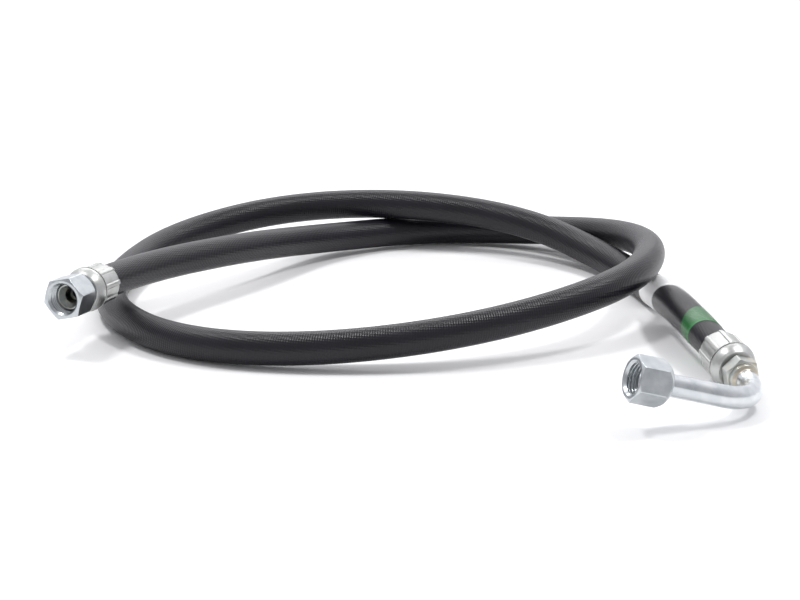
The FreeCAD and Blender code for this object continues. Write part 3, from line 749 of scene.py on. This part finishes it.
def ramp(material, fac, stops):
    """Colour ramp through (position, hex colour) stops."""
    node = add(material, "ValToRGB", {"Fac": fac})
    for k, (position, colour) in enumerate(stops):
        element = node.color_ramp.elements[k] if k < 2 else node.color_ramp.elements.new(position)
        element.position, element.color = position, linear(colour)
    return node.outputs["Color"]


def spread(material, value, low, high):
    """Value from 0..1 carried to low..high."""
    return add(material, "MapRange", {"Value": value, "To Min": low, "To Max": high}).outputs["Result"]


def raised(material, height, distance, strength):
    """Normal of a surface that stands up by its height times distance."""
    bump = add(material, "Bump", {"Height": height, "Distance": distance, "Strength": strength})
    return bump.outputs["Normal"]


# %% [markdown]
# ## Rubber cover
# The cover is black synthetic rubber. While it cures, it is bound tightly in wet nylon tape, and
# when the tape comes off it leaves its weave in the rubber: fine threads that run nearly round the
# hose, crossed by weaker ones along it. That cloth impression is why the highlights look brushed.
# The rubber itself is a dark, slightly bluish grey with a satin skin, rubbed a little shinier here and
# there. The tape's threads are about 0.6 mm apart; they are drawn at 1.1 mm, because finer ones
# don't show at this distance.

# %% Cloth-wrapped rubber
THREAD_SPACING = 1.1
WRAP_ANGLE = math.radians(9)
IMPRINT_DEPTH = 0.1 * MM
WAVE_PERIOD = math.pi / 10      # distance between bands of a wave texture at scale 1


def cloth_imprint(material, surface_mm):
    """Height of the tape's weave: bands across the hose at THREAD_SPACING, plus half as much lengthwise."""
    wound = add(material, "Mapping", {"Vector": surface_mm, "Rotation": (0, 0, WRAP_ANGLE)}).outputs["Vector"]
    scale = WAVE_PERIOD / THREAD_SPACING
    across = add(material, "TexWave", {"Vector": wound, "Scale": scale, "Distortion": 0.6, "Detail": 1.0,
                                       "Detail Scale": 1.5}, bands_direction="X").outputs["Fac"]
    along_hose = add(material, "TexWave", {"Vector": wound, "Scale": scale * 0.9, "Distortion": 0.8},
                     bands_direction="Y").outputs["Fac"]
    half = spread(material, along_hose, 0.0, 0.5)
    return add(material, "Math", {0: across, 1: half}, operation="ADD").outputs[0]


def cloth_wrapped_rubber():
    material, output, surface_mm = finish_named("cloth_wrapped_black_rubber")
    weave = cloth_imprint(material, surface_mm)
    mottle = add(material, "TexNoise", {"Vector": surface_mm, "Scale": 0.045, "Detail": 4.0}).outputs["Fac"]
    grain = add(material, "TexNoise", {"Vector": surface_mm, "Scale": 1.6, "Detail": 3.0}).outputs["Fac"]
    fine = spread(material, grain, -0.3, 0.3)
    height = add(material, "Math", {0: weave, 1: fine}, operation="ADD").outputs[0]
    bump = raised(material, height, IMPRINT_DEPTH, 0.8)
    shader = add(material, "BsdfPrincipled", {
        "Base Color": ramp(material, mottle, [(0.3, "#141318"), (0.7, "#1c1a21")]),
        "Roughness": spread(material, mottle, 0.25, 0.38),
        "IOR": 1.5,
        "Specular IOR Level": 0.34,
        "Normal": bump,
    })
    material.node_tree.links.new(shader.outputs[0], output.inputs["Surface"])
    return material


# %% [markdown]
# ## Zinc plate
# All the steel is electroplated with zinc and clear-passivated. That gives a light, slightly blue metal,
# brighter than bare steel and less mirror-like than chrome, with faint straw and lilac tints where the
# passivation is thicker. What lies under the plate differs: turned faces keep fine rings, hexagon flats and
# drawn tube keep lengthwise lines, and pressed ferrules are dull and dented by the dies. So one function
# makes the plate, and its numbers say which surface was plated.

# %% Zinc on steel
def zinc_plate(name, colours, roughness, line_spacing, line_direction, line_depth, dents=0.0):
    """Plated steel with fine lines at line_spacing mm, 'round' the axis or 'along' it, line_depth mm deep."""
    material, output, surface_mm = finish_named(name)
    stretch = (1 / line_spacing, 0.02, 1) if line_direction == "round" else (0.02, 1 / line_spacing, 1)
    lines_at = add(material, "Mapping", {"Vector": surface_mm, "Scale": stretch}).outputs["Vector"]
    lines = add(material, "TexNoise", {"Vector": lines_at, "Scale": 1.0, "Detail": 2.0}).outputs["Fac"]
    cloud = add(material, "TexNoise", {"Vector": surface_mm, "Scale": 0.16, "Detail": 5.0,
                                       "Roughness": 0.6}).outputs["Fac"]
    speck = add(material, "TexNoise", {"Vector": surface_mm, "Scale": 1.1, "Detail": 3.0}).outputs["Fac"]
    dented = add(material, "Math", {0: speck, 1: dents}, operation="MULTIPLY").outputs[0]
    height = add(material, "Math", {0: lines, 1: dented}, operation="ADD").outputs[0]
    bump = raised(material, height, line_depth * MM, 1.0)
    shader = add(material, "BsdfPrincipled", {
        "Base Color": ramp(material, cloud, [(0.32, colours[0]), (0.5, colours[1]), (0.68, colours[2])]),
        "Metallic": 1.0,
        "Roughness": spread(material, cloud, *roughness),
        "Normal": bump,
    })
    material.node_tree.links.new(shader.outputs[0], output.inputs["Surface"])
    return material


# %% [markdown]
# ## Brazing, label and films
# The brazing is copper alloy under a thin wash of zinc, so it shows warm through silver. The label
# is white vinyl, the ring is green tape, and both lie under or beside a clear shrink film. A clear
# film is seen by its gloss alone: most of it lets the light straight through, and the share that
# it reflects grows towards its edges. A glass shader would do that truly but would shade what lies
# under it, so a transparent and a glossy surface are mixed by the angle of view. Only the film's
# outer wall has that gloss, and the inner one is left fully clear, so that the green ring shows.

# %% Small finishes
SKIN_RELIEF = 0.02 * MM
FILM_RELIEF = 0.03 * MM


def plain_finish(name, colours, roughness, metallic=0.0, patch=0.2):
    """A skin whose colour and gloss drift a little from patch to patch, patch being per millimetre."""
    material, output, surface_mm = finish_named(name)
    cloud = add(material, "TexNoise", {"Vector": surface_mm, "Scale": patch, "Detail": 4.0}).outputs["Fac"]
    bump = raised(material, cloud, SKIN_RELIEF, 0.6)
    shader = add(material, "BsdfPrincipled", {
        "Base Color": ramp(material, cloud, [(0.3, colours[0]), (0.7, colours[1])]),
        "Metallic": metallic,
        "Roughness": spread(material, cloud, *roughness),
        "Normal": bump,
    })
    material.node_tree.links.new(shader.outputs[0], output.inputs["Surface"])
    return material


def clear_film():
    material, output, surface_mm = finish_named("clear_shrink_film")
    weave = cloth_imprint(material, surface_mm)
    bump = raised(material, weave, FILM_RELIEF, 0.5)
    edge = add(material, "LayerWeight", {"Blend": 0.5}).outputs["Facing"]
    through = add(material, "BsdfTransparent", {"Color": linear("#ffffff")}).outputs[0]
    gloss = add(material, "BsdfPrincipled", {"Base Color": linear("#2a2a2d"), "Roughness": 0.26, "IOR": 1.5,
                                             "Normal": bump}).outputs[0]
    backface = add(material, "NewGeometry").outputs["Backfacing"]
    outer_wall = spread(material, backface, 1.0, 0.0)
    share = add(material, "Math", {0: spread(material, edge, 0.1, 0.5), 1: outer_wall},
                operation="MULTIPLY").outputs[0]
    mixed = add(material, "MixShader", {"Fac": share, 1: through, 2: gloss}).outputs[0]
    material.node_tree.links.new(mixed, output.inputs["Surface"])
    return material


rubber = cloth_wrapped_rubber()
nut_zinc = zinc_plate("zinc_on_hexagon_bar", ("#b1b6ba", "#bdc2c5", "#c9cccd"), (0.24, 0.36), 0.18,
                      "round", 0.004)
ferrule_zinc = zinc_plate("zinc_on_pressed_ferrule", ("#a9aaa6", "#b5b6b4", "#c0c1c1"), (0.3, 0.45), 0.3,
                          "along", 0.014, dents=0.8)
nipple_zinc = zinc_plate("zinc_on_turned_nipple", ("#aeb1ad", "#b8bbb8", "#c2bba8"), (0.26, 0.38), 0.25,
                         "round", 0.012)
tube_zinc = zinc_plate("zinc_on_drawn_tube", ("#c4c9cd", "#d0d4d7", "#dadcde"), (0.2, 0.3), 0.35,
                       "along", 0.004)
braze_zinc = plain_finish("zinc_washed_copper_braze", ("#b7afa0", "#c9c2b4"), (0.34, 0.46), metallic=1.0,
                          patch=0.5)
spring_wire = plain_finish("bright_spring_wire", ("#9a9da0", "#a9acb0"), (0.25, 0.35), metallic=1.0)
vinyl = plain_finish("white_vinyl_label", ("#dfe0e0", "#e9e9e8"), (0.35, 0.5), patch=0.08)
green_tape = plain_finish("green_marking_tape", ("#2c7a3c", "#358a48"), (0.3, 0.4), patch=0.1)
tube_rubber = plain_finish("smooth_nitrile_tube", ("#141414", "#1a1a1a"), (0.4, 0.5))
gum = plain_finish("rubber_between_braids", ("#1a1a1a", "#222222"), (0.5, 0.6))
braid_steel = zinc_plate("brass_coated_braid_wire", ("#b39a5e", "#c4ab70", "#d2bd86"), (0.3, 0.4), 0.3,
                         "along", 0.05)
film = clear_film()

FINISHES = [
    (layers["outer_cover"], rubber, "cover_rubber"),
    (layers["inner_tube"], tube_rubber, "tube_rubber"),
    (layers["inner_wire_braid"], braid_steel, "braid_wire"),
    (layers["outer_wire_braid"], braid_steel, "braid_wire"),
    (layers["separator_layer"], gum, "separator_rubber"),
    (wrappings["identity_label"], vinyl, "label_film"),
    (wrappings["green_marker_band"], green_tape, "band_film"),
    (wrappings["clear_sleeve"], film, "clear_film"),
    (left_ferrule, ferrule_zinc, "ferrule_zinc"), (right_ferrule, ferrule_zinc, "ferrule_zinc"),
    (left_nut, nut_zinc, "nut_zinc"), (right_nut, nut_zinc, "nut_zinc"),
    (left_nipple, nipple_zinc, "nipple_zinc"), (right_nipple, nipple_zinc, "nipple_zinc"),
    (sleeve, nipple_zinc, "nipple_zinc"), (tube, tube_zinc, "tube_zinc"),
    (braze, braze_zinc, "braze_metal"), (wire, spring_wire, "spring_wire"),
]
for piece, material, slot in FINISHES:
    piece.data.materials.append(material)

# %% [markdown]
# ## Studio
# The object lies on a plain, nearly white table in a light room. Rubber and plated steel are seen by
# what they reflect, so the lamps are soft panels: one overhead on the left and one on the right, which draw
# the short highlights on the hose where it turns, and a wide one behind. The room is brighter at
# the back than behind the camera, which gives the flats that face the camera their grey.

# %% Floor, room and lamps
FLOOR_HALF = 6.0
floor_mesh = bpy.data.meshes.new("table")
floor_corners = [(x * FLOOR_HALF, y * FLOOR_HALF, 0) for x, y in ((-1, -1), (1, -1), (1, 1), (-1, 1))]
floor_mesh.from_pydata(floor_corners, [], [(0, 1, 2, 3)])
floor = bpy.data.objects.new("table", floor_mesh)
scene.collection.objects.link(floor)
table_white = bpy.data.materials.new("white_table")
table_white.use_nodes = True
table_shader = table_white.node_tree.nodes["Principled BSDF"]
table_shader.inputs["Base Color"].default_value = linear("#f6f6f6")
table_shader.inputs["Roughness"].default_value = 0.9
floor_mesh.materials.append(table_white)

world = bpy.data.worlds.new("light_room")
world.use_nodes = True
scene.world = world
direction = add(world, "TexCoord").outputs["Generated"]
towards_back = add(world, "SeparateXYZ", {0: direction}).outputs["Y"]
room = add(world, "MapRange", {"Value": towards_back, "From Min": -0.7, "From Max": 0.7, "To Min": 0.55,
                               "To Max": 1.15}, interpolation_type="SMOOTHSTEP").outputs["Result"]
background = world.node_tree.nodes["Background"]
background.inputs["Color"].default_value = linear("#f4f4f8")
world.node_tree.links.new(room, background.inputs["Strength"])


def soft_panel(name, place, aim, size, power):
    """Rectangular lamp of size (width, height) in metres, at place and facing aim."""
    lamp = bpy.data.lights.new(name, "AREA")
    lamp.shape = "RECTANGLE"
    lamp.size, lamp.size_y = size
    lamp.energy = power
    panel = bpy.data.objects.new(name, lamp)
    panel.location = place
    panel.rotation_euler = (Vector(aim) - Vector(place)).to_track_quat("-Z", "Y").to_euler()
    scene.collection.objects.link(panel)


soft_panel("panel_left", (-0.4, 0.1, 0.95), (-0.05, 0.1, 0), (0.26, 0.16), 3.6)
soft_panel("panel_right", (0.5, 0.1, 0.9), (0.1, 0.05, 0), (0.26, 0.16), 3.6)
soft_panel("panel_back", (0.0, 1.1, 0.8), (0.0, 0.1, 0), (1.2, 0.3), 4)
scene.view_settings.view_transform = "Standard"
